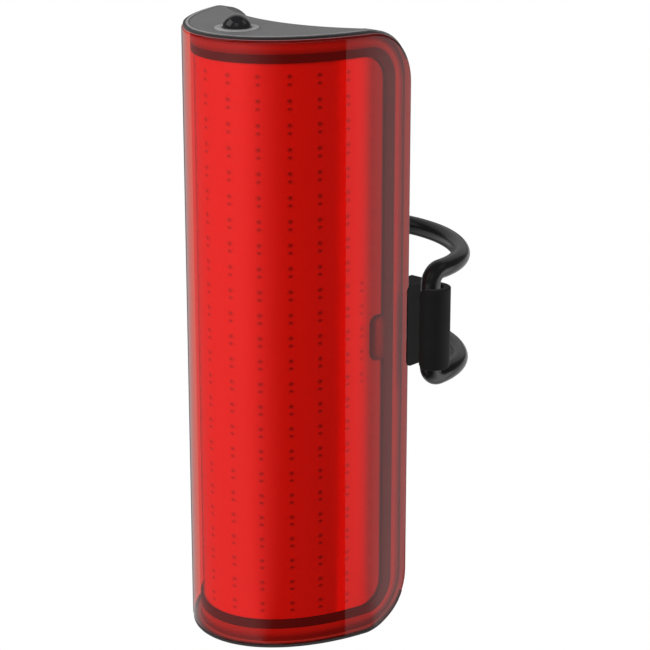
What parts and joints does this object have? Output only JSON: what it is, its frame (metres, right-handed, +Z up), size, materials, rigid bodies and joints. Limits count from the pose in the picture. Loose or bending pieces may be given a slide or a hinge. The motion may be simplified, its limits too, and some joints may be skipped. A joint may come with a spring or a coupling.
{
  "type": "bike rear light",
  "caption": "Tall rear light for a bike seat post, with a curved red lens over LED columns, a top push button, a post groove with hooks and a rubber ring strap.",
  "frame": {"origin": "on the seat post's axis, half way up the cradle that clamps to it", "axes": "+Z up the post towards the button, +X across the light, +Y to the rear of the light where the post is, so that the lens faces -Y"},
  "size_m": [0.0528, 0.0566, 0.1144],
  "materials": {
    "red_lens": "clear tinted polycarbonate, gloss",
    "housing_plastic": "fine moulded texture",
    "black_rubber": "matte",
    "board_red": "satin solder mask",
    "led_dark": "satin",
    "aluminium": "brushed",
    "circuit_board": "satin solder mask",
    "steel": "plated",
    "chip_black": "matte",
    "pad_grey": "matte",
    "ceramic": "satin",
    "white_plastic": "satin",
    "amber_film": "gloss",
    "battery_foil": "foil",
    "gloss_black": "gloss",
    "ring_grey": "satin",
    "cradle_plastic": "matte",
    "strap_silicone": "gloss silicone"
  },
  "bodies": {
    "light": {"lens": "red_lens", "rear_housing": "housing_plastic", "lens_gasket": "black_rubber", "led_board": "board_red", "led_chips": "led_dark", "heat_spreader": "aluminium", "main_board": "circuit_board", "board_screws": "steel", "driver_chip": "chip_black", "thermal_pad": "pad_grey", "driver_coil": "chip_black", "capacitors": "ceramic", "tail_connector": "white_plastic", "board_tail": "amber_film", "battery_cell": "battery_foil", "battery_pad": "pad_grey", "battery_tabs": "steel", "socket_shell": "steel", "socket_tongue": "chip_black", "port_cover_pin": "steel", "button_ring": "ring_grey", "button_seal": "black_rubber", "switch_board": "circuit_board", "switch_body": "chip_black", "status_leds": "white_plastic", "cradle": "cradle_plastic", "cradle_screws": "steel", "cradle_pad": "black_rubber", "strap": "strap_silicone"},
    "button": {"button_dome": "gloss_black"},
    "plunger": {"switch_plunger": "white_plastic"},
    "cover": {"port_cover": "black_rubber"}
  },
  "joints": [
    {"name": "button_press", "type": "slide", "parent": "light", "child": "button", "axis": [0, 0, -1], "range_m": [0, 0.0006], "stiffness_N_per_m": 300},
    {"name": "switch_press", "type": "slide", "parent": "light", "child": "plunger", "axis": [0, 0, -1], "range_m": [0, 0.0003]},
    {"name": "port_cover_hinge", "type": "hinge", "parent": "light", "child": "cover", "pos_m": [0, -0.0188, -0.0323], "axis": [1, 0, 0], "range_deg": [0, 100]}
  ],
  "couplings": [
    {"joint": "switch_press", "follows": "button_press", "ratio": 0.5}
  ]
}
